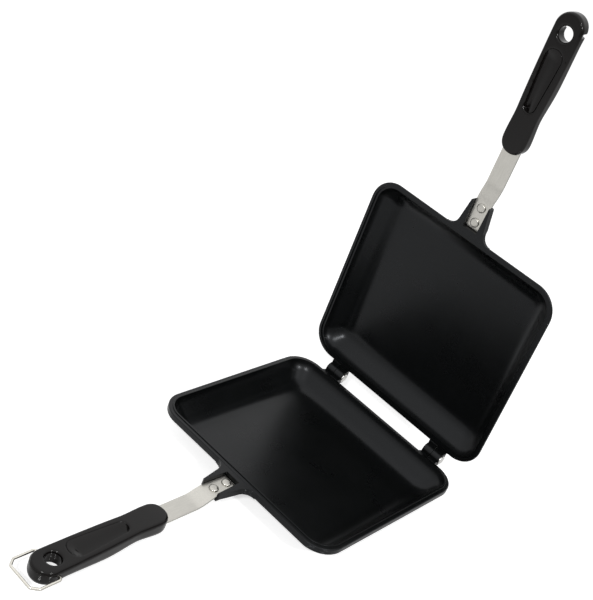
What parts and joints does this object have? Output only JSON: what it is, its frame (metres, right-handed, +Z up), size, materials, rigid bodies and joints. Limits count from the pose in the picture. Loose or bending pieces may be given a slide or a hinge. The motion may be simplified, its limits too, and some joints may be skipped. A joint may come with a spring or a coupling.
{
  "type": "hinged sandwich pan",
  "caption": "Hinged double pan for toasting a sandwich over a hob, with long riveted handles and a swinging wire bail that latches them shut.",
  "frame": {"origin": "middle of the lower pan's flat base, on its underside", "axes": "+Z up; -Y from the pan along the lower handle; +X to the right of a person who holds the handle; the hinge runs along X behind the pan"},
  "size_m": [0.16, 0.3476, 0.3401],
  "materials": {
    "coated_pan": "cast aluminium under a satin black non-stick coating",
    "strap_steel": "satin stainless steel",
    "rivet_metal": "bright aluminium",
    "phenolic_grip": "glossy black phenolic",
    "screw_steel": "plain steel",
    "pin_steel": "bright steel",
    "bail_wire": "plated steel wire"
  },
  "bodies": {
    "lower": {"lower_pan": "coated_pan", "lower_strap": "strap_steel", "lower_inner_rivet": "rivet_metal", "lower_outer_rivet": "rivet_metal", "lower_grip": "phenolic_grip", "lower_grip_screw": "screw_steel", "left_hinge_pin": "pin_steel", "right_hinge_pin": "pin_steel"},
    "lid": {"upper_pan": "coated_pan", "upper_strap": "strap_steel", "upper_inner_rivet": "rivet_metal", "upper_outer_rivet": "rivet_metal", "upper_grip": "phenolic_grip", "upper_grip_screw": "screw_steel"},
    "bail": {"latch_bail": "bail_wire"}
  },
  "joints": [
    {"name": "lid_hinge", "type": "hinge", "parent": "lower", "child": "lid", "pos_m": [0, 0.0837, 0.0195], "axis": [1, 0, 0], "range_deg": [0, 88.1]},
    {"name": "bail_swing", "type": "hinge", "parent": "lower", "child": "bail", "pos_m": [0, -0.2253, 0.0122], "axis": [-1, 0, 0], "range_deg": [-145, 88]}
  ]
}
